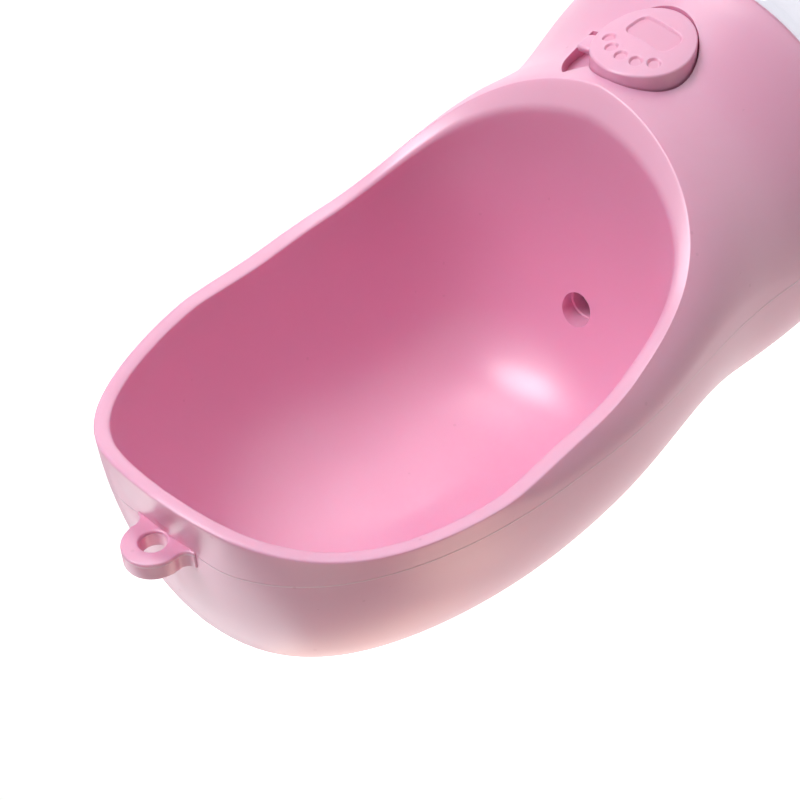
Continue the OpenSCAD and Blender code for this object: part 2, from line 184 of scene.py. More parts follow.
def newGroup(name, inputs, outputs):
    group = bpy.data.node_groups.new(name, "ShaderNodeTree")
    for label, kind, value in inputs:
        socket = group.interface.new_socket(label, in_out="INPUT", socket_type=kind)
        if value is not None:
            socket.default_value = value
    for label, kind in outputs:
        group.interface.new_socket(label, in_out="OUTPUT", socket_type=kind)
    return group, addNode(group, "NodeGroupInput"), addNode(group, "NodeGroupOutput")


def math2(tree, operation, a, b=None, clamp=False):
    node = addNode(tree, "ShaderNodeMath", operation=operation, use_clamp=clamp)
    for index, value in enumerate((a, b)):
        if value is None:
            continue
        if isinstance(value, (int, float)):
            node.inputs[index].default_value = value
        else:
            tree.links.new(value, node.inputs[index])
    return node.outputs[0]


def mixColour(tree, factor, a, b):
    node = addNode(tree, "ShaderNodeMix", data_type="RGBA")
    for socket, value in ((node.inputs[0], factor), (node.inputs[6], a), (node.inputs[7], b)):
        if isinstance(value, (int, float, tuple)):
            socket.default_value = value
        else:
            tree.links.new(value, socket)
    return node.outputs[2]


def noise(tree, vector, scale, detail=3.0, roughness=0.5):
    node = fillIn(addNode(tree, "ShaderNodeTexNoise"), Detail=detail, Roughness=roughness)
    tree.links.new(vector, node.inputs["Vector"])
    if isinstance(scale, (int, float)):
        node.inputs["Scale"].default_value = scale
    else:
        tree.links.new(scale, node.inputs["Scale"])
    return node.outputs["Fac"]


def mouldedGroup():
    # the skin that a steel mould leaves: a fine grain, slow swells and a slight unevenness of gloss
    group, given, out = newGroup(
        "moulded skin",
        [("Position", "NodeSocketVector", None), ("Grain Scale", "NodeSocketFloat", 4200.0),
         ("Grain Depth", "NodeSocketFloat", 0.3), ("Swell Scale", "NodeSocketFloat", 28.0),
         ("Swell Depth", "NodeSocketFloat", 1.0), ("Gloss Spread", "NodeSocketFloat", 0.08)],
        [("Height", "NodeSocketFloat"), ("Gloss Shift", "NodeSocketFloat"), ("Mottle", "NodeSocketFloat")])
    position = given.outputs["Position"]
    grain = noise(group, position, given.outputs["Grain Scale"], 2.0)
    swell = noise(group, position, given.outputs["Swell Scale"], 1.0)
    cloud = noise(group, position, 55.0, 4.0, 0.6)
    height = math2(group, "ADD", math2(group, "MULTIPLY", grain, given.outputs["Grain Depth"]),
                   math2(group, "MULTIPLY", swell, given.outputs["Swell Depth"]))
    shift = math2(group, "MULTIPLY", math2(group, "SUBTRACT", cloud, 0.5), given.outputs["Gloss Spread"])
    group.links.new(height, out.inputs["Height"])
    group.links.new(shift, out.inputs["Gloss Shift"])
    group.links.new(cloud, out.inputs["Mottle"])
    return group


def speckGroup():
    # sparse small specks: dust and tiny scuffs from use
    group, given, out = newGroup(
        "specks", [("Position", "NodeSocketVector", None), ("Scale", "NodeSocketFloat", 260.0),
                   ("Share", "NodeSocketFloat", 0.08)], [("Mask", "NodeSocketFloat")])
    cells = addNode(group, "ShaderNodeTexVoronoi", feature="F1")
    group.links.new(given.outputs["Position"], cells.inputs["Vector"])
    group.links.new(given.outputs["Scale"], cells.inputs["Scale"])
    near = math2(group, "LESS_THAN", cells.outputs["Distance"], given.outputs["Share"])
    patch = math2(group, "GREATER_THAN", noise(group, given.outputs["Position"], 90.0), 0.56)
    group.links.new(math2(group, "MULTIPLY", near, patch), out.inputs["Mask"])
    return group


def partingGroup():
    # a hairline all round where the two halves of the mould met
    group, given, out = newGroup(
        "parting line", [("Position", "NodeSocketVector", None), ("Level", "NodeSocketFloat", 0.0018),
                         ("Width", "NodeSocketFloat", 0.00022), ("Where", "NodeSocketFloat", 1.0)],
        [("Line", "NodeSocketFloat"), ("Step", "NodeSocketFloat")])
    split = addNode(group, "ShaderNodeSeparateXYZ")
    group.links.new(given.outputs["Position"], split.inputs[0])
    over = math2(group, "SUBTRACT", split.outputs["Y"], given.outputs["Level"])
    off = math2(group, "DIVIDE", math2(group, "ABSOLUTE", over), given.outputs["Width"])
    line = math2(group, "SUBTRACT", 1.0, off, True)
    step = math2(group, "ADD", math2(group, "DIVIDE", over, given.outputs["Width"]), 0.5, True)
    group.links.new(math2(group, "MULTIPLY", line, given.outputs["Where"]), out.inputs["Line"])
    group.links.new(math2(group, "MULTIPLY", step, given.outputs["Where"]), out.inputs["Step"])
    return group


def brushedGroup():
    group, given, out = newGroup(
        "drawn metal", [("Position", "NodeSocketVector", None), ("Stretch", "NodeSocketVector", (1, 1, 1))],
        [("Height", "NodeSocketFloat"), ("Mottle", "NodeSocketFloat")])
    scaled = addNode(group, "ShaderNodeVectorMath", operation="MULTIPLY")
    group.links.new(given.outputs["Position"], scaled.inputs[0])
    group.links.new(given.outputs["Stretch"], scaled.inputs[1])
    group.links.new(noise(group, scaled.outputs[0], 900.0, 4.0), out.inputs["Height"])
    group.links.new(noise(group, given.outputs["Position"], 120.0), out.inputs["Mottle"])
    return group


mouldedSkin = mouldedGroup()
specks = speckGroup()
partingLine = partingGroup()
drawnMetal = brushedGroup()


def newMaterial(name):
    material = bpy.data.materials.new(name)
    material.use_nodes = True
    tree = material.node_tree
    shader = tree.nodes["Principled BSDF"]
    position = addNode(tree, "ShaderNodeTexCoord").outputs["Object"]
    return material, tree, shader, position


def placeGroup(tree, group, position, **values):
    node = addNode(tree, "ShaderNodeGroup", node_tree=group)
    tree.links.new(position, node.inputs["Position"])
    for key, value in values.items():
        node.inputs[key].default_value = value
    return node


def bump(tree, height, distance, strength=1.0, under=None):
    node = fillIn(addNode(tree, "ShaderNodeBump"), Strength=strength, Distance=distance)
    tree.links.new(height, node.inputs["Height"])
    if under:
        tree.links.new(under, node.inputs["Normal"])
    return node.outputs["Normal"]


pinkLook = {
    "colour": (0.86, 0.405, 0.59, 1),
    "deepColour": (0.83, 0.36, 0.545, 1),
    "roughness": 0.34,
    "glow": 0.35,                       # share of light that wanders under the skin
    "glowReach": (1.0, 0.28, 0.32),
    "glowScale": 0.0035,
    "mottle": 0.55,
    # the parting line's paler colour and its share: a painted highlight along the line
    "seamHighlightColour": (0.95, 0.66, 0.78, 1), "seamHighlightShare": 0.85,
    "dustColour": (0.62, 0.25, 0.38, 1), "dustShare": 0.25, "dustGloss": 0.15,
    "ior": 1.62, "shine": 0.8,
}


def pinkPlastic():
    material, tree, shader, position = newMaterial("pink moulded plastic")
    skin = placeGroup(tree, mouldedSkin, position)
    dust = placeGroup(tree, specks, position)
    onSkin = addNode(tree, "ShaderNodeAttribute", attribute_name="outside").outputs["Fac"]
    seam = placeGroup(tree, partingLine, position)
    tree.links.new(onSkin, seam.inputs["Where"])
    colour = mixColour(tree, math2(tree, "MULTIPLY", skin.outputs["Mottle"], pinkLook["mottle"]),
                       pinkLook["colour"], pinkLook["deepColour"])
    # painted highlight: the parting line is coloured paler pink, as the highlight on its ridge; the bumps
    # below give its real shape
    colour = mixColour(tree, math2(tree, "MULTIPLY", seam.outputs["Line"], pinkLook["seamHighlightShare"]),
                       colour, pinkLook["seamHighlightColour"])
    colour = mixColour(tree, math2(tree, "MULTIPLY", dust.outputs["Mask"], pinkLook["dustShare"]),
                       colour, pinkLook["dustColour"])
    gloss = math2(tree, "ADD", skin.outputs["Gloss Shift"], pinkLook["roughness"])
    gloss = math2(tree, "ADD", gloss, math2(tree, "MULTIPLY", dust.outputs["Mask"], pinkLook["dustGloss"]))
    normal = bump(tree, skin.outputs["Height"], 0.00004, 0.5)
    normal = bump(tree, seam.outputs["Step"], 0.00008, 0.8, normal)
    normal = bump(tree, seam.outputs["Line"], 0.00006, 0.7, normal)
    tree.links.new(colour, shader.inputs["Base Color"])
    tree.links.new(gloss, shader.inputs["Roughness"])
    tree.links.new(normal, shader.inputs["Normal"])
    shader.inputs["IOR"].default_value = pinkLook["ior"]
    shader.inputs["Specular IOR Level"].default_value = pinkLook["shine"]
    shader.inputs["Subsurface Weight"].default_value = pinkLook["glow"]
    shader.inputs["Subsurface Radius"].default_value = pinkLook["glowReach"]
    shader.inputs["Subsurface Scale"].default_value = pinkLook["glowScale"]
    return material


# the bottle's grey-lavender tint is partly its own faint tint and partly painted shade: darker than clear
# plastic, for the head's shadow seen through it
clearLook = {"colour": (0.72, 0.715, 0.76, 1), "clouds": (0.90, 0.93, 0.96, 1), "cloudShare": 0.3,
             "roughness": 0.04, "ior": 1.52}


def clearPlastic():
    material, tree, shader, position = newMaterial("clear bottle plastic")
    skin = placeGroup(tree, mouldedSkin, position, **{"Grain Scale": 1500.0, "Grain Depth": 0.05,
                                                      "Swell Scale": 60.0, "Gloss Spread": 0.03})
    dust = placeGroup(tree, specks, position, Scale=420.0, Share=0.05)
    gloss = math2(tree, "ADD", skin.outputs["Gloss Shift"], clearLook["roughness"])
    gloss = math2(tree, "ADD", gloss, math2(tree, "MULTIPLY", dust.outputs["Mask"], 0.2), True)
    tree.links.new(gloss, shader.inputs["Roughness"])
    colour = mixColour(tree, math2(tree, "MULTIPLY", skin.outputs["Mottle"], clearLook["cloudShare"]),
                       clearLook["colour"], clearLook["clouds"])
    tree.links.new(colour, shader.inputs["Base Color"])
    tree.links.new(bump(tree, skin.outputs["Height"], 0.00006, 0.35), shader.inputs["Normal"])
    shader.inputs["Transmission Weight"].default_value = 1.0
    shader.inputs["IOR"].default_value = clearLook["ior"]
    return material


whiteLook = {"colour": (0.83, 0.83, 0.81, 1), "deepColour": (0.76, 0.76, 0.74, 1), "roughness": 0.42,
             "dustColour": (0.5, 0.5, 0.5, 1), "dustShare": 0.3}


def whitePlastic():
    material, tree, shader, position = newMaterial("white valve plastic")
    skin = placeGroup(tree, mouldedSkin, position, **{"Grain Scale": 2600.0, "Grain Depth": 0.8})
    dust = placeGroup(tree, specks, position, Scale=500.0, Share=0.07)
    colour = mixColour(tree, skin.outputs["Mottle"], whiteLook["colour"], whiteLook["deepColour"])
    colour = mixColour(tree, math2(tree, "MULTIPLY", dust.outputs["Mask"], whiteLook["dustShare"]),
                       colour, whiteLook["dustColour"])
    tree.links.new(colour, shader.inputs["Base Color"])
    tree.links.new(math2(tree, "ADD", skin.outputs["Gloss Shift"], whiteLook["roughness"]),
                   shader.inputs["Roughness"])
    tree.links.new(bump(tree, skin.outputs["Height"], 0.00005, 0.6), shader.inputs["Normal"])
    shader.inputs["Subsurface Weight"].default_value = 0.15
    shader.inputs["Subsurface Radius"].default_value = (1.0, 0.8, 0.6)
    shader.inputs["Subsurface Scale"].default_value = 0.002
    return material


# the seals' rose colour is a guess, kept dark so that the outlet hole reads dark red inside: partly painted
# shade
siliconeLook = {"colour": (0.36, 0.13, 0.17, 1), "deepColour": (0.30, 0.10, 0.14, 1), "roughness": 0.6,
                "dustColour": (0.75, 0.75, 0.75, 1), "dustShare": 0.4}


def silicone():
    material, tree, shader, position = newMaterial("rose silicone")
    skin = placeGroup(tree, mouldedSkin, position, **{"Grain Scale": 3400.0, "Grain Depth": 1.2,
                                                      "Swell Depth": 0.3, "Gloss Spread": 0.15})
    dust = placeGroup(tree, specks, position, Scale=700.0, Share=0.12)
    colour = mixColour(tree, skin.outputs["Mottle"], siliconeLook["colour"], siliconeLook["deepColour"])
    colour = mixColour(tree, math2(tree, "MULTIPLY", dust.outputs["Mask"], siliconeLook["dustShare"]),
                       colour, siliconeLook["dustColour"])
    tree.links.new(colour, shader.inputs["Base Color"])
    tree.links.new(math2(tree, "ADD", skin.outputs["Gloss Shift"], siliconeLook["roughness"]),
                   shader.inputs["Roughness"])
    tree.links.new(bump(tree, skin.outputs["Height"], 0.00004, 0.6), shader.inputs["Normal"])
    shader.inputs["Subsurface Weight"].default_value = 0.4
    shader.inputs["Subsurface Radius"].default_value = (1.0, 1.0, 1.0)
    shader.inputs["Subsurface Scale"].default_value = 0.0015
    return material


steelLook = {"colour": (0.60, 0.60, 0.61, 1), "deepColour": (0.47, 0.47, 0.49, 1), "roughness": 0.27}


def steel(name, stretch):
    material, tree, shader, position = newMaterial(name)
    drawn = placeGroup(tree, drawnMetal, position, Stretch=stretch)
    colour = mixColour(tree, drawn.outputs["Mottle"], steelLook["colour"], steelLook["deepColour"])
    tree.links.new(colour, shader.inputs["Base Color"])
    gloss = math2(tree, "MULTIPLY", drawn.outputs["Height"], 0.2)
    tree.links.new(math2(tree, "ADD", gloss, steelLook["roughness"] - 0.1), shader.inputs["Roughness"])
    tree.links.new(bump(tree, drawn.outputs["Height"], 0.00002, 0.5), shader.inputs["Normal"])
    shader.inputs["Metallic"].default_value = 1.0
    return material


pink = pinkPlastic()
clear = clearPlastic()
white = whitePlastic()
rubber = silicone()
turnedSteel = steel("turned steel", (0.3, 0.3, 2.0))
wireSteel = steel("spring wire", (1.0, 1.0, 1.0))
print("materials made")


# The head is a closed form of tilting sheets, from the level foot of its skirt to the sloping rim.

headForm = {
    "bottleR": 35.0, "length": 127.5, "waist": 34.2, "scoop": 38.2, "back": 38.0, "backWaist": 33.4,
    "front": 27.2, "lip": 28.0, "tipY": 10.0, "rimDip": 3.2, "wall": 3.0, "rimWidth": 2.6, "lipDrop": 5.0,
    "seamY": 1.8, "tipSink": 1.8,
    # how far the rim is moved in and back, at five stations from the lip to the tip
    "inset": (0.26, -0.51, 0.77, 1.07, 0.09), "sink": (-0.95, 0.3, 0.29, 0.05, 0.48),
    "rimRound": 1.4, "innerRound": 1.15, "skirtRound": 0.5, "lipCorner": 2.1,
    "rays": 208, "sheets": 96, "bowlRings": 56, "bowlEvening": 60,
}
h = headForm
tipZ = h["length"]
browZ = tipZ - 1.8
wideZ = 0.575 * tipZ
backZ = 0.57 * tipZ
mouthZ = 0.6 * tipZ


def roundEnd(k, p, q):
    return np.clip(1 - np.clip(k, 0, 1) ** p, 0, 1) ** (1 / q)


def sideAt(z):
    low = 0.2 * tipZ
    rise = ease(np.clip((z - low) / (wideZ - low), 0, 1) ** 0.85)
    return np.where(z < low, mix(h["bottleR"], h["waist"], ease(z / low)),
                    np.where(z < wideZ, mix(h["waist"], h["scoop"], rise),
                             h["scoop"] * roundEnd((z - wideZ) / (tipZ - wideZ), 2.6, 2.35)))


def backAt(z):
    low = 0.14 * tipZ
    end = mix(h["seamY"], h["back"], roundEnd((z - backZ) / (browZ - backZ), 4.4, 2.5))
    return np.where(z < low, mix(h["bottleR"], h["backWaist"], ease(z / low)),
                    np.where(z < backZ, mix(h["backWaist"], h["back"], ease((z - low) / (backZ - low))),
                             np.where(z < browZ, end,
                                      mix(h["seamY"], -h["tipY"], (z - browZ) / (tipZ - browZ)))))


def frontAt(z):
    flatZ, dipZ, dipY = 0.175 * tipZ, 0.47 * tipZ, 0.62 * h["front"]
    dip = ease(np.clip((z - h["lip"]) / (dipZ - h["lip"]), 0, 1) ** 0.9)
    k = np.clip((z - dipZ) / (tipZ - dipZ), 0, 1)
    return np.where(z < flatZ, mix(-h["bottleR"], -h["front"], ease(z / flatZ) ** 0.8),
                    np.where(z < h["lip"], -h["front"],
                             np.where(z < dipZ, mix(-h["front"], -dipY, dip),
                                      mix(-dipY, -h["tipY"], 1 - np.sqrt(1 - k * k)))))


def centreAt(z):
    part = mix(0.5, 0.33, ease(z / (0.45 * tipZ)))
    return mix(frontAt(z), backAt(z), mix(part, 0.08, ease((z - wideZ) / (tipZ - wideZ))))


def isInside(p):
    z = p[..., 2]
    c = centreAt(z)
    front = p[..., 1] < c
    half = np.where(front, c - frontAt(z), backAt(z) - c)
    power = mix(2, np.where(front, 1.72, 2.18), ease(z / (0.15 * tipZ)))
    across = (np.abs(p[..., 0]) / np.maximum(sideAt(z), 0.01)) ** power
    along = (np.abs(p[..., 1] - c) / np.maximum(half, 0.01)) ** power
    return (z <= tipZ) & (across + along < 1)


def swell(amounts, s):
    # a smooth sum of equal bumps along the head, from the lip (0) to the tip (1)
    middles = np.linspace(0, 1, len(amounts))
    return sum(a * np.exp(-((s - m) / 0.2) ** 2) for a, m in zip(amounts, middles))


def rimSag(s):
    level = (-h["front"] + (h["front"] - h["rimDip"]) * (1 - np.exp(-np.maximum(s, 0) / 0.13))
             + (h["rimDip"] - h["tipY"]) * np.abs(s) ** 10)
    level = level + h["tipSink"] * ease((s - 0.15) / 0.85) + swell(h["sink"], s)
    return level - mix(-h["front"], -h["tipY"], s)


def backPlace(k):
    if k < 0.4:
        return backAt(backZ * k / 0.4), backZ * k / 0.4
    if k < 0.9:
        turn = math.radians(90 * ((k - 0.4) / 0.5) ** 1.6)
        return (mix(h["seamY"], h["back"], max(math.cos(turn), 0) ** 0.8),
                mix(backZ, browZ, math.sin(turn) ** (2 / 4.4)))
    return mix(h["seamY"], -h["tipY"], (k - 0.9) / 0.1), mix(browZ, tipZ, (k - 0.9) / 0.1)


def sheetPoints(k, angle, r):
    frontZ = h["lip"] * k
    backY, backHeight = backPlace(k)
    s = (1 + r * np.sin(angle)) / 2
    return np.stack([r * np.cos(angle) * h["bottleR"], mix(frontAt(frontZ), backY, s) + k * k * rimSag(s),
                     mix(frontZ, backHeight, s)], -1)


rayAngles = np.radians(-90 + 360 * np.arange(h["rays"]) / h["rays"])


def outerRing(k):
    low = np.full(h["rays"], 0.3)
    high = np.minimum(1.5, 1 / np.maximum(np.abs(np.sin(rayAngles)), 0.001))
    for _ in range(22):
        r = (low + high) / 2
        hit = isInside(sheetPoints(k, rayAngles, r))
        low, high = np.where(hit, r, low), np.where(hit, high, r)
    r = low
    for middle in (0, h["rays"] // 2):
        r[middle] = (r[middle - 1] + r[middle + 1]) / 2
    s = (1 + r * np.sin(rayAngles)) / 2
    r = r - k ** 3 * swell(h["inset"], s) / h["bottleR"] * np.abs(np.cos(rayAngles)) ** 0.5
    return sheetPoints(k, rayAngles, r)


def fromLip(p):
    return (p[:, 2] - h["lip"]) / (tipZ - h["lip"])


def innerEdge(rim):
    dx, dz = rim[:, 0], rim[:, 2] - mouthZ
    r = np.hypot(dx, dz)
    drop = mix(0.4, h["lipDrop"], np.exp(-fromLip(rim) / 0.1))
    return rim + np.stack([-h["rimWidth"] * dx / r, drop, -h["rimWidth"] * dz / r], 1)


def deepestAt(x, z):
    c = centreAt(z)
    across = np.clip(np.abs(x) / np.maximum(sideAt(z) - h["wall"], 0.01), 0, 1)
    return c + (backAt(z) - h["wall"] - c) * (1 - across ** 2.18) ** (1 / 2.18)


def softLess(a, b, soft):
    return -soft * np.logaddexp(-a / soft, -b / soft)


def bowlRing(rim, degrees):
    p = innerEdge(rim)
    lipward = fromLip(rim)
    n = 2.25 + h["lipCorner"] * np.exp(-lipward / 0.18) + 0.9 * np.exp((lipward - 1) / 0.15)
    s = math.radians(degrees)
    out, deep = math.cos(s) ** (2 / n), math.sin(s) ** (2 / n)
    x, z = p[:, 0] * out, mix(mouthZ, p[:, 2], out)
    y = mix(p[:, 1], h["back"] - h["wall"], deep)
    limit = np.maximum(p[:, 1] + 0.01, deepestAt(x, z))
    fade = np.minimum(deep * 2, 1)
    return np.stack([x, mix(np.minimum(y, limit), softLess(y, limit, 0.5), fade), z], 1)


def bend(before, corner, after, steps):
    # rounds a corner: points of a curve from before to after
    return [(1 - t) ** 2 * before + 2 * t * (1 - t) * corner + t * t * after
            for t in np.linspace(0, 1, steps)]


def toward(a, b, distance):
    step = b - a
    length = np.linalg.norm(step, axis=1, keepdims=True)
    return a + step * np.minimum(distance / np.maximum(length, 1e-6), 0.45)


def relax(rings, pole, rounds):
    # evens out the bowl: each point moves toward the middle of its four neighbours
    for _ in range(rounds):
        closed = np.concatenate([rings, np.broadcast_to(pole, rings[:1].shape)])
        around = (np.roll(rings, 1, axis=1) + np.roll(rings, -1, axis=1)) / 2
        along = (closed[:-2] + closed[2:]) / 2
        rings = rings.copy()
        rings[2:] += 0.5 * ((around[2:] + along[1:]) / 2 - rings[2:])
    return rings


def headRings():
    ks = np.linspace(0, 1, h["sheets"] + 1)
    outer = [outerRing(k) for k in ks]
    rim = outer[-1]
    edge = innerEdge(rim)
    foot = outer[0]
    inward = foot * np.array([1 - 1.2 * h["skirtRound"] / h["bottleR"]] * 2 + [1])
    skirt = bend(inward, foot, foot + np.array([0, 0, h["skirtRound"] * 1.4]), 5)
    first = bowlRing(rim, 0.35)
    outsideRings = skirt + outer[1:-1]
    corner = bend(toward(rim, outer[-2], h["rimRound"]), rim, toward(rim, edge, h["rimRound"]), 7)
    turnIn = bend(toward(edge, rim, h["innerRound"]), edge, toward(edge, first, h["innerRound"] * 1.2), 6)
    steps = 90 * (np.arange(1, h["bowlRings"]) / h["bowlRings"]) ** 1.25
    pole = np.array([0, h["back"] - h["wall"], mouthZ])
    bowl = list(relax(np.array([bowlRing(rim, d) for d in steps]), pole, h["bowlEvening"]))
    rings = outsideRings + corner + turnIn + bowl
    return np.array(rings), len(outsideRings) + 3


def headShell():
    rings, outsideCount = headRings()
    points, faces = loft(rings, True, False)
    pole = len(points)
    points = np.vstack([points, [[0, h["back"] - h["wall"], mouthZ]]])
    last = pole - h["rays"]
    faces += [[last + i, last + (i + 1) % h["rays"], pole] for i in range(h["rays"])]
    points[:, 2] += headBase
    piece = newPiece("headShell", points, faces, pink)
    mark = piece.data.attributes.new("outside", "FLOAT", "POINT")
    values = np.zeros(len(piece.data.vertices))
    values[:outsideCount * h["rays"]] = 1
    mark.data.foreach_set("value", values)
    return piece


# What is cut from the head, and its eyelet.

headCuts = {
    "collarR": 25.2, "plateZ": 6.5, "plateTop": 9.7, "chamberR": 24.2, "roofZ": 28.9,
    "plateFront": -20.8, "sealWidth": 1.8, "screws": (15.5, 9.0),
    "bossR": 3.1, "bossFoot": 8.5, "pilotR": 1.3, "pilotTop": 23.5,
    "grooveIn": 27.8, "grooveOut": 31.8, "grooveTop": 4.5,
    "buttonR": 8.8, "buttonZ": 17.1, "gap": 0.3, "pocketY": -22.1, "hubR": 4.2,
    "lugR": 13.4, "lugLow": -12.0, "lugHigh": 49.0,
    "outletR": 2.8, "outletY": 16.2, "outletFloor": 31.45, "outletRound": 0.3,
}
eyeletLook = {"y": 2.8, "z": 128.1, "r": 4.8, "holeR": 2.1, "thick": 3.2, "rootZ": 124.6,
              "tipSurface": 125.8, "fillet": 1.7, "round": 0.42, "holeRound": 0.35}


def flatDisc(name, r, flatY, z0, z1):
    start = math.degrees(math.asin(flatY / r))
    outline = arc(0, 0, r, start, 180 - start, 120)
    return prism(name, outline, z0 + headBase, z1 + headBase)


def headCutters():
    c = headCuts
    cuts = []
    lead = [(0, -1), (c["collarR"] + 1.2, -1), (c["collarR"] + 1.2, 0), (c["collarR"], 1.2),
            (c["collarR"], c["plateZ"]), (0, c["plateZ"])]
    profile = [(max(r, 1e-4), z + headBase) for r, z in lead]
    cuts.append(turned("collarCut", profile, 144))
    cuts.append(flatDisc("plateCut", c["collarR"], c["plateFront"], c["plateZ"] - 1, c["plateTop"]))
    cuts.append(flatDisc("chamberCut", c["chamberR"], c["plateFront"] + c["sealWidth"],
                         c["plateZ"], c["roofZ"]))
    groove = [(c["grooveIn"], -1), (c["grooveOut"], -1), (c["grooveOut"], c["grooveTop"]),
              (c["grooveIn"], c["grooveTop"])]
    cuts.append(turned("grooveCut", [(r, z + headBase) for r, z in groove], 144))
    pocketR = c["buttonR"] + c["gap"]
    cuts.append(place(prism("pocketCut", circleLine(0, 0, pocketR), 0, 20),
                      alongY(0, c["pocketY"] - 20, headBase + c["buttonZ"])))
    cuts.append(place(prism("hubCut", circleLine(0, 0, c["hubR"] + c["gap"], 64), 0, 5),
                      alongY(0, c["pocketY"] - 1, headBase + c["buttonZ"])))
    # the lug's recess is a sector beside the pocket; its outline has X right and Z up
    sector = arc(0, 0, c["lugR"], c["lugLow"], c["lugHigh"], 40) + arc(0, 0, 7, c["lugHigh"], c["lugLow"], 20)
    sector = [(x, -z) for x, z in sector]
    cuts.append(place(prism("lugCut", sector, 0, 16),
                      alongY(0, c["pocketY"] - 16, headBase + c["buttonZ"])))
    floor, r, bead = c["outletFloor"], c["outletR"], c["outletRound"]
    flare = [(1e-4, c["roofZ"] - 1), (r, c["roofZ"] - 1), (r, floor - bead)]
    flare += [(r + bead - bead * math.cos(a), floor - bead + bead * math.sin(a))
              for a in np.radians(np.arange(15, 91, 15))]
    flare += [(r + bead + 0.1, floor + 6), (1e-4, floor + 6)]
    hole = turned("outletCut", [(x, z + headBase) for x, z in flare], 64)
    cuts.append(place(hole, Matrix.Translation((0, c["outletY"] * mm, 0))))
    return cuts


def eyelet():
    e = eyeletLook
    # outline of one side: up from the root, along the concave fillet, then round the ring
    fz = e["tipSurface"] - e["z"] + e["fillet"]
    fx = math.sqrt((e["r"] + e["fillet"]) ** 2 - fz ** 2)
    touch = math.degrees(math.atan2(-fz, -fx)) % 360
    side = arc(fx, fz, e["fillet"], 270, touch, 10)
    start = math.degrees(math.atan2(fz, fx))
    ring = arc(0, 0, e["r"], start, 180 - start, 48)
    mirror = [(-x, z) for x, z in side[::-1]]
    low = e["rootZ"] - e["z"]
    outline = [(fx, low)] + side + ring[1:-1] + mirror + [(-fx, low)]
    half = e["thick"] / 2
    work = prism("eyelet", [(x, -z) for x, z in outline], -half, half)
    bevel = work.modifiers.new("round", "BEVEL")
    bevel.width = e["round"] * mm
    bevel.segments = 4
    bevel.angle_limit = math.radians(50)
    applied(work)
    return place(work, alongY(0, e["y"], e["z"] + headBase))


def eyeletHole():
    e = eyeletLook
    half, r, bead = e["thick"] / 2, e["holeR"], e["holeRound"]
    line = [(r + bead - bead * math.cos(a), half - bead + bead * math.sin(a))
            for a in np.radians(np.arange(0, 91, 15))]
    profile = [(1e-4, -half - 2), (r + bead, -half - 2)] + [(x, -z) for x, z in line[::-1]] + line
    profile += [(r + bead, half + 2), (1e-4, half + 2)]
    return place(turned("eyeletCut", profile, 56), alongY(0, e["y"], e["z"] + headBase))


def atScrews(name, r, segments, z0, z1):
    across, along = headCuts["screws"]
    return [prism(name, circleLine(x, y, r, segments), headBase + z0, headBase + z1)
            for x in (-across, across) for y in (-along, along)]


head = headShell()
combine(head, [eyelet()], "UNION")
combine(head, [eyeletHole()], "DIFFERENCE")
combine(head, headCutters(), "DIFFERENCE")
combine(head, atScrews("boss", headCuts["bossR"], 48, headCuts["bossFoot"], headCuts["roofZ"] + 1),
        "UNION")
combine(head, atScrews("pilot", headCuts["pilotR"], 24, 6, headCuts["pilotTop"]), "DIFFERENCE")
smoothShade(head, 34)
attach(head, "head")
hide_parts("head_shell")
print("head shaped:", len(head.data.polygons), "faces")


# The push button: a domed disc with a pressed-in paw, its skirt, hub and lug.

buttonLook = {
    "r": 8.8, "face": -30.5, "back": -25.4, "z": 17.1, "tilt": 9.5, "edge": 0.4,
    "crown": 0.15, "crownAcross": 1.1, "wall": 1.5, "inside": -26.8, "cells": 112,
    "hubR": 4.2, "hubBack": -22.57, "stemR": 2.6, "boreEnd": -26.88,
    "padSize": (9.6, 5.0), "padRound": 1.6, "padY": -2.3, "toeR": 1.05, "toeOut": 7.3,
    "toes": (-47, -23.5, 0, 23.5, 47), "pawTurn": 8.0, "pawDepth": 0.45, "pawSoft": 0.28,
    "lugAngle": 6.0, "lugFrom": 7.8, "lugTo": 12.0, "lugHalf": 2.2, "lugFront": -26.7,
    # the paw colour and share at the end of the next line: painted shade that darkens the paw's hollows
    "lugRound": 0.45, "lugCorner": 0.6, "pawShadeColour": (0.70, 0.24, 0.40, 1), "pawShadeShare": 0.35,
}


def pawDepth(x, y):
    b = buttonLook
    c, s = math.cos(math.radians(b["pawTurn"])), math.sin(math.radians(b["pawTurn"]))
    x, y = x * c - y * s, x * s + y * c
    px = np.abs(x) - (b["padSize"][0] / 2 - b["padRound"])
    py = np.abs(y - b["padY"]) - (b["padSize"][1] / 2 - b["padRound"])
    outside = np.hypot(np.maximum(px, 0), np.maximum(py, 0)) + np.minimum(np.maximum(px, py), 0)
    outside = outside - b["padRound"]
    for toe in b["toes"]:
        tx, ty = b["toeOut"] * math.sin(math.radians(toe)), b["toeOut"] * math.cos(math.radians(toe))
        outside = np.minimum(outside, np.hypot(x - tx, y - b["padY"] - ty) - b["toeR"])
    k = np.clip((b["pawSoft"] / 2 - outside) / b["pawSoft"], 0, 1)
    return b["pawDepth"] * k * k * (3 - 2 * k), k


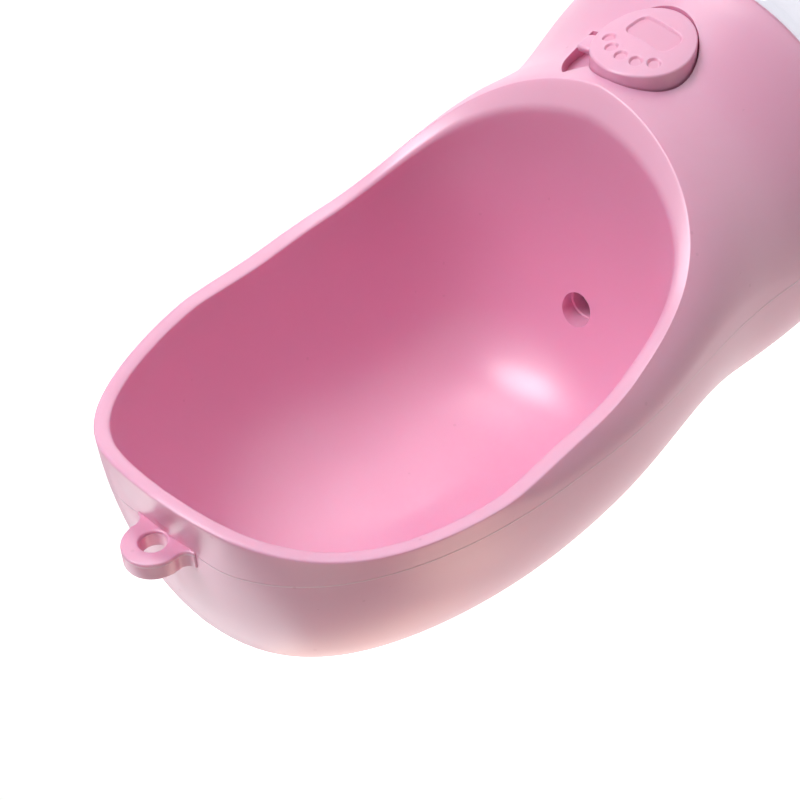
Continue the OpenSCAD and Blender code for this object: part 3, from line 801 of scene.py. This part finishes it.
def buttonShape():
    # local axes: X right, Y up and Z out of the face; Z 0 is the face's middle
    b = buttonLook
    n = b["cells"] + 1
    flatR = b["r"] - b["edge"]
    u, v = np.meshgrid(np.linspace(-1, 1, n), np.linspace(-1, 1, n))
    x, y = u * np.sqrt(1 - v * v / 2) * flatR, v * np.sqrt(1 - u * u / 2) * flatR
    depth, inPaw = pawDepth(x, y)
    lean = math.tan(math.radians(b["tilt"]))
    z = -(b["crownAcross"] * x * x + b["crown"] * y * y) / flatR ** 2 - depth - lean * y
    points = np.stack([x, y, z], -1).reshape(-1, 3)
    grid = np.arange(n * n).reshape(n, n)
    faces = np.stack([grid[:-1, :-1], grid[:-1, 1:], grid[1:, 1:], grid[1:, :-1]], -1).reshape(-1, 4).tolist()
    loop = np.concatenate([grid[0, :-1], grid[:-1, -1], grid[-1, :0:-1], grid[:0:-1, 0]])
    around = points[loop, :2] / np.linalg.norm(points[loop, :2], axis=1, keepdims=True)
    # radius and height of the round edge, which leans with the face, then the level stations behind it
    profile = [(flatR + b["edge"] * math.sin(a), -b["edge"] * (1 - math.cos(a)))
               for a in np.radians(np.arange(15, 91, 15))]
    domed = -(b["crownAcross"] * around[:, 0] ** 2 + b["crown"] * around[:, 1] ** 2)
    rings = [np.column_stack([around * r, domed + z0 - lean * around[:, 1] * r]) for r, z0 in profile]
    flatStations = [(b["r"], b["back"]), (b["r"] - b["wall"], b["back"]), (b["r"] - b["wall"], b["inside"]),
                    (b["hubR"], b["inside"]), (b["hubR"], b["hubBack"]), (b["stemR"], b["hubBack"]),
                    (b["stemR"], b["boreEnd"])]
    for r, station in flatStations:
        rings.append(np.column_stack([around * r, np.full(len(loop), b["face"] - station)]))
    count = len(points)
    allPoints = [points] + rings
    before = loop
    for ring in rings:
        index = np.arange(count, count + len(loop))
        nextOf = np.roll(index, -1)
        faces += np.stack([before, np.roll(before, -1), nextOf, index], 1).tolist()
        before, count = index, count + len(loop)
    faces.append(before.tolist()[::-1])
    return np.vstack(allPoints), faces, inPaw.reshape(-1)


def buttonCap():
    b = buttonLook
    points, faces, inPaw = buttonShape()
    cap = newPiece("buttonCap", points, faces, None, False)
    mark = cap.data.attributes.new("paw", "FLOAT", "POINT")
    values = np.zeros(len(points))
    values[:len(inPaw)] = inPaw
    mark.data.foreach_set("value", values)
    # face to -Y
    turn = Matrix.Rotation(math.radians(90), 4, "X")
    place(cap, Matrix.Translation((0, b["face"] * mm, (headBase + b["z"]) * mm)) @ turn)
    cap.data.materials.append(pinkPaw())
    lug = lugPiece()
    join = bmesh.new()
    join.from_mesh(cap.data)
    join.from_mesh(lug.data)
    bmesh.ops.recalc_face_normals(join, faces=join.faces)
    join.to_mesh(cap.data)
    join.free()
    bpy.data.objects.remove(lug)
    smoothShade(cap, 38)
    return cap


def lugPiece():
    b = buttonLook
    half, cut = b["lugHalf"], b["lugCorner"]
    outline = [(b["lugFrom"], -half), (b["lugTo"] - cut, -half), (b["lugTo"], -half + cut),
               (b["lugTo"], half - cut), (b["lugTo"] - cut, half), (b["lugFrom"], half)]
    lug = prism("lug", [(x, -z) for x, z in outline], b["lugFront"], b["back"])
    bevel = lug.modifiers.new("round", "BEVEL")
    bevel.width = b["lugRound"] * mm
    bevel.segments = 4
    bevel.angle_limit = math.radians(60)
    applied(lug)
    spin = Matrix.Rotation(-math.radians(b["lugAngle"]), 4, "Y")
    place(lug, Matrix.Rotation(-math.pi / 2, 4, "X"))
    return place(lug, Matrix.Translation((0, 0, (headBase + b["z"]) * mm)) @ spin)


def pinkPaw():
    # the head's plastic, with painted shade in the paw's hollows: they are coloured darker
    material = pink.copy()
    material.name = "pink moulded button"
    tree = material.node_tree
    shader = tree.nodes["Principled BSDF"]
    link = shader.inputs["Base Color"].links[0]
    # painted shade: the paw mask darkens the colour of the hollows
    pawShadeMask = addNode(tree, "ShaderNodeAttribute", attribute_name="paw").outputs["Fac"]
    deeper = mixColour(tree, math2(tree, "MULTIPLY", pawShadeMask, buttonLook["pawShadeShare"]), (0, 0, 0, 1),
                       buttonLook["pawShadeColour"])
    mixer = deeper.node
    tree.links.new(link.from_socket, mixer.inputs[6])
    tree.links.new(deeper, shader.inputs["Base Color"])
    return material


button = buttonCap()
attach(button, "button")
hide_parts("button_cap")
print("button shaped")


# The clear bottle, its thread and the spring.

bottleForm = {"r": 35.0, "height": 104.0, "neckR": 24.5, "neckTop": 110.0, "mouthR": 21.5,
              "wall": 1.9, "foot": 7.0, "shoulderRound": 2.2, "rootFillet": 0.7, "segments": 180}
threadLook = {"lead": 6.0, "starts": 2, "ridge": 0.5, "height": 1.1, "radius": 24.35,
              "from": 105.3, "rise": 3.4, "stepsPerTurn": 96}


def bottlePiece():
    b = bottleForm
    r, foot, bead, root = b["r"], b["foot"], b["shoulderRound"], b["rootFillet"]
    innerR = r - b["wall"]
    line = [(1e-4, 1.2), (12, 1.1), (21, 0.7), (25.5, 0.12)]
    line += arc(r - foot, foot, foot, -90, 0, 14)
    line += arc(r - bead, b["height"] - bead, bead, 0, 90, 8)
    line += arc(b["neckR"] + root, b["height"] + root, root, 270, 180, 5)
    line += arc(b["neckR"] - 0.4, b["neckTop"] - 0.4, 0.4, 0, 90, 4)
    line += arc(b["mouthR"] + 0.4, b["neckTop"] - 0.4, 0.4, 90, 180, 4)
    line += arc(b["mouthR"] + 0.8, b["height"] - 1.2, 0.8, 180, 270, 4)
    line += arc(innerR - 2, b["height"] - 4, 2, 90, 0, 8)
    line += arc(r - foot, foot, foot - b["wall"], 0, -90, 12)
    line += [(21, b["wall"] + 0.5), (1e-4, b["wall"] + 1.1)]
    piece = turned("bottleShell", line, b["segments"], clear)
    smoothShade(piece, 50)
    return piece


def newTree(name, inputs):
    tree = bpy.data.node_groups.new(name, "GeometryNodeTree")
    tree.interface.new_socket("Geometry", in_out="INPUT", socket_type="NodeSocketGeometry")
    for label, kind, value in inputs:
        tree.interface.new_socket(label, in_out="INPUT", socket_type=kind).default_value = value
    tree.interface.new_socket("Geometry", in_out="OUTPUT", socket_type="NodeSocketGeometry")
    return tree, addNode(tree, "NodeGroupInput"), addNode(tree, "NodeGroupOutput")


def coilTree(name, material):
    # a profile swept along a helix, as many times round the axis as there are starts
    tree, given, out = newTree(name, [
        ("Radius", "NodeSocketFloat", 0.01), ("Turns", "NodeSocketFloat", 1.0),
        ("Rise", "NodeSocketFloat", 0.01), ("Starts", "NodeSocketInt", 1), ("Steps", "NodeSocketInt", 96),
        ("Half Width", "NodeSocketFloat", 0.001), ("Half Height", "NodeSocketFloat", 0.001),
        ("Sides", "NodeSocketInt", 12), ("Base", "NodeSocketFloat", 0.0)])
    link = tree.links.new
    helix = addNode(tree, "GeometryNodeCurveSpiral")
    link(given.outputs["Steps"], helix.inputs["Resolution"])
    link(given.outputs["Turns"], helix.inputs["Rotations"])
    link(given.outputs["Radius"], helix.inputs["Start Radius"])
    link(given.outputs["Radius"], helix.inputs["End Radius"])
    link(given.outputs["Rise"], helix.inputs["Height"])
    upright = addNode(tree, "GeometryNodeSetCurveNormal", mode="Z_UP")
    link(helix.outputs["Curve"], upright.inputs["Curve"])
    section = addNode(tree, "GeometryNodeCurvePrimitiveCircle")
    section.inputs["Radius"].default_value = 1.0
    link(given.outputs["Sides"], section.inputs["Resolution"])
    size = addNode(tree, "ShaderNodeCombineXYZ")
    link(given.outputs["Half Width"], size.inputs["X"])
    link(given.outputs["Half Height"], size.inputs["Y"])
    size.inputs["Z"].default_value = 1.0
    oval = addNode(tree, "GeometryNodeTransform")
    link(section.outputs["Curve"], oval.inputs["Geometry"])
    link(size.outputs[0], oval.inputs["Scale"])
    sweep = addNode(tree, "GeometryNodeCurveToMesh")
    link(upright.outputs["Curve"], sweep.inputs["Curve"])
    link(oval.outputs["Geometry"], sweep.inputs["Profile Curve"])
    sweep.inputs["Fill Caps"].default_value = True
    starts = addNode(tree, "GeometryNodePoints")
    link(given.outputs["Starts"], starts.inputs["Count"])
    lift = addNode(tree, "ShaderNodeCombineXYZ")
    link(given.outputs["Base"], lift.inputs["Z"])
    link(lift.outputs[0], starts.inputs["Position"])
    number = addNode(tree, "GeometryNodeInputIndex")
    share = addNode(tree, "ShaderNodeMath", operation="DIVIDE")
    share.inputs[0].default_value = 2 * math.pi
    link(given.outputs["Starts"], share.inputs[1])
    angle = addNode(tree, "ShaderNodeMath", operation="MULTIPLY")
    link(number.outputs[0], angle.inputs[0])
    link(share.outputs[0], angle.inputs[1])
    turn = addNode(tree, "ShaderNodeCombineXYZ")
    link(angle.outputs[0], turn.inputs["Z"])
    spread = addNode(tree, "GeometryNodeInstanceOnPoints")
    link(starts.outputs[0], spread.inputs["Points"])
    link(sweep.outputs["Mesh"], spread.inputs["Instance"])
    link(turn.outputs[0], spread.inputs["Rotation"])
    real = addNode(tree, "GeometryNodeRealizeInstances")
    link(spread.outputs["Instances"], real.inputs["Geometry"])
    dress = addNode(tree, "GeometryNodeSetMaterial")
    dress.inputs["Material"].default_value = material
    link(real.outputs["Geometry"], dress.inputs["Geometry"])
    link(dress.outputs["Geometry"], out.inputs["Geometry"])
    return tree


def coil(name, material, values):
    mesh = bpy.data.meshes.new(name)
    piece = bpy.data.objects.new(name, mesh)
    bpy.context.scene.collection.objects.link(piece)
    tree = coilTree(name + " tree", material)
    step = piece.modifiers.new("coil", "NODES")
    step.node_group = tree
    for socket in tree.interface.items_tree:
        if socket.in_out == "INPUT" and socket.name in values:
            step[socket.identifier] = values[socket.name]
    bpy.context.view_layer.update()
    applied(piece)
    work = bmesh.new()
    work.from_mesh(piece.data)
    bmesh.ops.recalc_face_normals(work, faces=work.faces)
    work.to_mesh(piece.data)
    work.free()
    return piece


bottle = bottlePiece()
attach(bottle, "bottle")
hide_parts("bottle")
t = threadLook
thread = coil("neckThread", clear, {
    "Radius": t["radius"] * mm, "Turns": t["rise"] / t["lead"], "Rise": t["rise"] * mm, "Starts": t["starts"],
    "Steps": int(t["stepsPerTurn"] * t["rise"] / t["lead"]), "Half Width": t["ridge"] * mm,
    "Half Height": t["height"] / 2 * mm, "Sides": 12, "Base": t["from"] * mm})
smoothShade(thread, 40)
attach(thread, "bottle")
print("bottle and thread shaped")

springLook = {"wire": 0.7, "r": 3.2, "turns": 5.0, "from": 9.2, "to": 17.6, "press": 3.0,
              "steps": 36, "sides": 12}
s = springLook
spring = coil("returnSpringWire", wireSteel, {
    "Radius": s["r"] * mm, "Turns": s["turns"], "Rise": (s["to"] - s["from"] - s["wire"]) * mm, "Starts": 1,
    "Steps": int(s["turns"] * s["steps"]), "Half Width": s["wire"] / 2 * mm,
    "Half Height": s["wire"] / 2 * mm, "Sides": s["sides"], "Base": s["wire"] / 2 * mm})
place(spring, alongY(0, s["from"], headBase + headCuts["buttonZ"]))
smoothShade(spring, 50)
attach(spring, "head")
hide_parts("return_spring")
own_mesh(spring)
print("spring shaped")


# Finishes of the pieces that keep their CAD shape.

finishes = {
    white: ("valve_body", "screen_ring", "barrel_plug", "plunger", "stem_seal_retainer"),
    rubber: ("neck_gasket", "plate_seal", "outlet_seal", "plug_seal", "stem_seal", "valve_seal",
            "button_friction_ring"),
    turnedSteel: ("valve_screws", "inlet_screen", "spring_seat", "button_clip"),
}
for material, names in finishes.items():
    for name in names:
        mesh = cadNodes[name].data
        mesh.materials.clear()
        mesh.materials.append(material)
print("finishes set")


# Floor, light and camera.

studio = {
    "floor": (0.90, 0.90, 0.90, 1), "floorLift": 0.9, "backdrop": 1.0, "room": 0.03,
    # right, down and toward the object as the camera sees them
    "right": (-0.71267, 0.05722, -0.69916), "down": (-0.43439, 0.74659, 0.50389),
    "ahead": (0.55082, 0.66282, -0.50722), "eye": (-0.16933, -0.19574, 0.33822), "lens": 85.87,
    "middle": (0.0, 0.0, 0.175),
    # each lamp: where it is from the middle (right, up, back to the camera), size, watts, colour
    "lamps": {
        "above": ((0.05, 0.6, 0.1), 0.5, 3.5, (0.97, 1.0, 1.0)),
        "left": ((-0.6, 0.1, 0.3), 0.5, 0.6, (1.0, 1.0, 1.0)),
        "frontLeft": ((-0.44, 0.45, 0.44), 0.45, 3.9, (1.0, 0.98, 1.0)),
        "back": ((-0.34, -0.44, -0.36), 0.6, 1.2, (1.0, 1.0, 1.0)),
        "below": ((0.0, -0.6, 0.2), 0.5, 0.6, (1.0, 0.95, 0.86)),
        "belowBack": ((0.1, -0.4, -0.5), 0.5, 0.75, (1.0, 0.72, 0.52)),
        "belowRight": ((0.45, -0.45, -0.12), 0.5, 1.3, (1.0, 0.74, 0.56)),
    },
}


def studioFloor():
    points = [(-1500, -1500, 0), (1500, -1500, 0), (1500, 1500, 0), (-1500, 1500, 0)]
    floor = newPiece("floor", points, [[0, 1, 2, 3]], None, False)
    material = bpy.data.materials.new("pale floor")
    material.use_nodes = True
    tree = material.node_tree
    shader = tree.nodes["Principled BSDF"]
    shader.inputs["Base Color"].default_value = studio["floor"]
    shader.inputs["Roughness"].default_value = 0.85
    rays = addNode(tree, "ShaderNodeLightPath").outputs
    seen = math2(tree, "MAXIMUM", rays["Is Camera Ray"],
                 math2(tree, "MAXIMUM", rays["Is Glossy Ray"], rays["Is Transmission Ray"]))
    shader.inputs["Emission Color"].default_value = (1, 1, 1, 1)
    tree.links.new(math2(tree, "MULTIPLY", seen, studio["floorLift"]), shader.inputs["Emission Strength"])
    floor.data.materials.append(material)


def room():
    world = bpy.data.worlds.new("studio room")
    bpy.context.scene.world = world
    world.use_nodes = True
    tree = world.node_tree
    background = tree.nodes["Background"]
    background.inputs["Color"].default_value = (1, 1, 1, 1)
    rays = addNode(tree, "ShaderNodeLightPath").outputs
    seen = math2(tree, "MAXIMUM", rays["Is Camera Ray"],
                 math2(tree, "MAXIMUM", rays["Is Glossy Ray"], rays["Is Transmission Ray"]))
    strength = math2(tree, "ADD", math2(tree, "MULTIPLY", seen, studio["backdrop"] - studio["room"]),
                     studio["room"])
    tree.links.new(strength, background.inputs["Strength"])


def lamps():
    right, down, ahead = (np.array(studio[k]) for k in ("right", "down", "ahead"))
    middle = np.array(studio["middle"])
    for name, (offset, size, watts, colour) in studio["lamps"].items():
        light = bpy.data.lights.new(name, "AREA")
        light.shape = "DISK"
        light.size = size
        light.energy = watts
        light.color = colour
        lamp = bpy.data.objects.new(name, light)
        at = middle + right * offset[0] - down * offset[1] - ahead * offset[2]
        away = (at - middle) / np.linalg.norm(at - middle)
        side = np.cross([0.3, 0.2, 1.0], away)
        side /= np.linalg.norm(side)
        up = np.cross(away, side)
        turn = np.eye(4)
        turn[:3, 0], turn[:3, 1], turn[:3, 2], turn[:3, 3] = side, up, away, at
        lamp.matrix_world = Matrix(turn.tolist())
        bpy.context.scene.collection.objects.link(lamp)


def camera():
    view = bpy.data.cameras.new("camera")
    view.lens = studio["lens"]
    view.sensor_width = 36
    eye = bpy.data.objects.new("camera", view)
    turn = np.eye(4)
    turn[:3, 0], turn[:3, 1] = studio["right"], -np.array(studio["down"])
    turn[:3, 2], turn[:3, 3] = -np.array(studio["ahead"]), studio["eye"]
    eye.matrix_world = Matrix(turn.tolist())
    bpy.context.scene.collection.objects.link(eye)
    bpy.context.scene.camera = eye


studioFloor()
room()
lamps()
camera()
bpy.context.scene.view_settings.view_transform = "Standard"
bpy.context.view_layer.update()
print("studio set")
